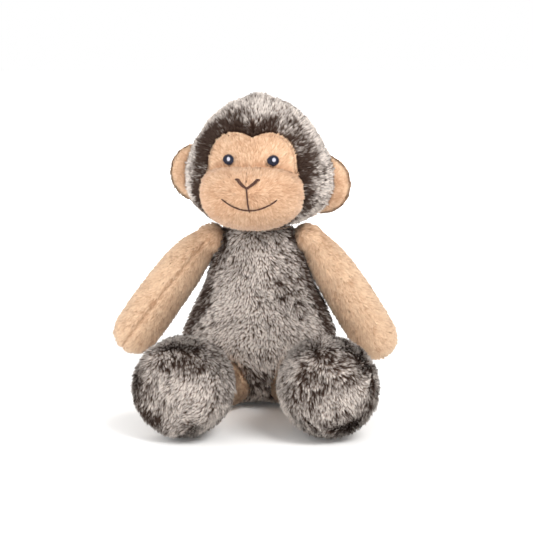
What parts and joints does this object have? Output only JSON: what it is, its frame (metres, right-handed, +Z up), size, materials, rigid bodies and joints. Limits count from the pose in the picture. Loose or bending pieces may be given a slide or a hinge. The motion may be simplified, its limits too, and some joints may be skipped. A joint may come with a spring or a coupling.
{
  "type": "stuffed monkey",
  "caption": "Sitting stuffed toy monkey with an egg-shaped head, round ears and muzzle, pear-shaped body, hanging arms and big round feet.",
  "frame": {"origin": "on the floor, under the middle of the seat", "axes": "+Z up, -Y the way the toy faces, +X towards the toy's own left"},
  "size_m": [0.2576, 0.2117, 0.2769],
  "materials": {
    "frosted_plush": "long frosted plush, dark brown at the roots and pale at the tips",
    "tan_plush": "short soft plush",
    "navy_thread": "satin embroidery",
    "white_thread": "satin embroidery",
    "brown_thread": "satin embroidery",
    "seam_thread": "matt sewing thread",
    "lining": "plain woven cotton",
    "beans": "loose pellets",
    "stuffing": "loose polyester fibre"
  },
  "bodies": {
    "torso": {"torso_front_panel": "frosted_plush", "torso_back_left_panel": "frosted_plush", "torso_back_right_panel": "frosted_plush", "torso_stuffing": "stuffing", "seat_bean_bag": "lining", "seat_beans": "beans"},
    "neck_thread": {"neck_stitching": "seam_thread"},
    "head_thread": {"neck_drawstring": "seam_thread"},
    "head": {"face_panel": "tan_plush", "head_left_panel": "frosted_plush", "head_right_panel": "frosted_plush", "muzzle_panel": "tan_plush", "head_stuffing": "stuffing", "left_eye": "navy_thread", "left_eye_glint": "white_thread", "right_eye": "navy_thread", "right_eye_glint": "white_thread", "nose_stitching": "brown_thread", "mouth_stitching": "brown_thread"},
    "left_ear": {"left_ear_front_panel": "tan_plush", "left_ear_back_panel": "tan_plush", "left_ear_wadding": "stuffing"},
    "right_ear": {"right_ear_front_panel": "tan_plush", "right_ear_back_panel": "tan_plush", "right_ear_wadding": "stuffing"},
    "left_shoulder_thread": {"left_shoulder_stitching": "seam_thread"},
    "left_arm": {"left_arm_outer_panel": "tan_plush", "left_arm_inner_panel": "tan_plush", "left_arm_stuffing": "stuffing"},
    "right_shoulder_thread": {"right_shoulder_stitching": "seam_thread"},
    "right_arm": {"right_arm_outer_panel": "tan_plush", "right_arm_inner_panel": "tan_plush", "right_arm_stuffing": "stuffing"},
    "left_hip_thread": {"left_hip_stitching": "seam_thread"},
    "left_leg": {"left_leg_panel": "tan_plush", "left_leg_stuffing": "stuffing"},
    "left_foot": {"left_foot_upper_panel": "frosted_plush", "left_foot_sole_panel": "frosted_plush", "left_foot_stuffing": "stuffing"},
    "right_hip_thread": {"right_hip_stitching": "seam_thread"},
    "right_leg": {"right_leg_panel": "tan_plush", "right_leg_stuffing": "stuffing"},
    "right_foot": {"right_foot_upper_panel": "frosted_plush", "right_foot_sole_panel": "frosted_plush", "right_foot_stuffing": "stuffing"}
  },
  "joints": [
    {"name": "neck_turn", "type": "hinge", "parent": "torso", "child": "neck_thread", "pos_m": [-0.001, 0, 0.138], "axis": [0, 0, 1], "range_deg": [-32, 38], "stiffness_Nm_per_rad": 0.4},
    {"name": "neck_nod", "type": "hinge", "parent": "neck_thread", "child": "head_thread", "pos_m": [-0.001, 0, 0.138], "axis": [0.9903, -0.1392, 0], "range_deg": [-10, 10], "stiffness_Nm_per_rad": 2},
    {"name": "neck_tilt", "type": "hinge", "parent": "head_thread", "child": "head", "pos_m": [-0.001, 0, 0.138], "axis": [0.1392, 0.9903, 0], "range_deg": [-5, 5], "stiffness_Nm_per_rad": 2},
    {"name": "left_ear_fold", "type": "hinge", "parent": "head", "child": "left_ear", "pos_m": [0.06646, -0.0014, 0.198], "axis": [0, 0, 1], "range_deg": [-15, 15], "stiffness_Nm_per_rad": 0.02},
    {"name": "right_ear_fold", "type": "hinge", "parent": "head", "child": "right_ear", "pos_m": [-0.06623, 0.01725, 0.206], "axis": [0, 0, -1], "range_deg": [-15, 15], "stiffness_Nm_per_rad": 0.02},
    {"name": "left_arm_raise", "type": "hinge", "parent": "torso", "child": "left_shoulder_thread", "pos_m": [0.045, 0, 0.149], "axis": [0, -1, 0], "range_deg": [0, 35], "stiffness_Nm_per_rad": 0.3},
    {"name": "left_arm_swing", "type": "hinge", "parent": "left_shoulder_thread", "child": "left_arm", "pos_m": [0.045, 0, 0.149], "axis": [-1, 0, 0], "range_deg": [-30, 40], "stiffness_Nm_per_rad": 0.2},
    {"name": "right_arm_raise", "type": "hinge", "parent": "torso", "child": "right_shoulder_thread", "pos_m": [-0.045, 0, 0.149], "axis": [0, 1, 0], "range_deg": [0, 35], "stiffness_Nm_per_rad": 0.3},
    {"name": "right_arm_swing", "type": "hinge", "parent": "right_shoulder_thread", "child": "right_arm", "pos_m": [-0.045, 0, 0.149], "axis": [-1, 0, 0], "range_deg": [-30, 40], "stiffness_Nm_per_rad": 0.2},
    {"name": "left_hip_lift", "type": "hinge", "parent": "torso", "child": "left_hip_thread", "pos_m": [0.027, -0.034, 0.024], "axis": [-1, 0, 0], "range_deg": [-50, 28], "stiffness_Nm_per_rad": 0.5},
    {"name": "left_hip_splay", "type": "hinge", "parent": "left_hip_thread", "child": "left_leg", "pos_m": [0.027, -0.034, 0.024], "axis": [0, 0, 1], "range_deg": [-10, 20], "stiffness_Nm_per_rad": 0.5},
    {"name": "left_ankle_flex", "type": "hinge", "parent": "left_leg", "child": "left_foot", "pos_m": [0.05, -0.086, 0.032], "axis": [-0.9744, -0.225, 0], "range_deg": [-18, 18], "stiffness_Nm_per_rad": 0.5},
    {"name": "right_hip_lift", "type": "hinge", "parent": "torso", "child": "right_hip_thread", "pos_m": [-0.027, -0.034, 0.024], "axis": [-1, 0, 0], "range_deg": [-50, 28], "stiffness_Nm_per_rad": 0.5},
    {"name": "right_hip_splay", "type": "hinge", "parent": "right_hip_thread", "child": "right_leg", "pos_m": [-0.027, -0.034, 0.024], "axis": [0, 0, -1], "range_deg": [-10, 20], "stiffness_Nm_per_rad": 0.5},
    {"name": "right_ankle_flex", "type": "hinge", "parent": "right_leg", "child": "right_foot", "pos_m": [-0.054, -0.085, 0.032], "axis": [-0.9563, 0.2924, 0], "range_deg": [-18, 18], "stiffness_Nm_per_rad": 0.5}
  ]
}
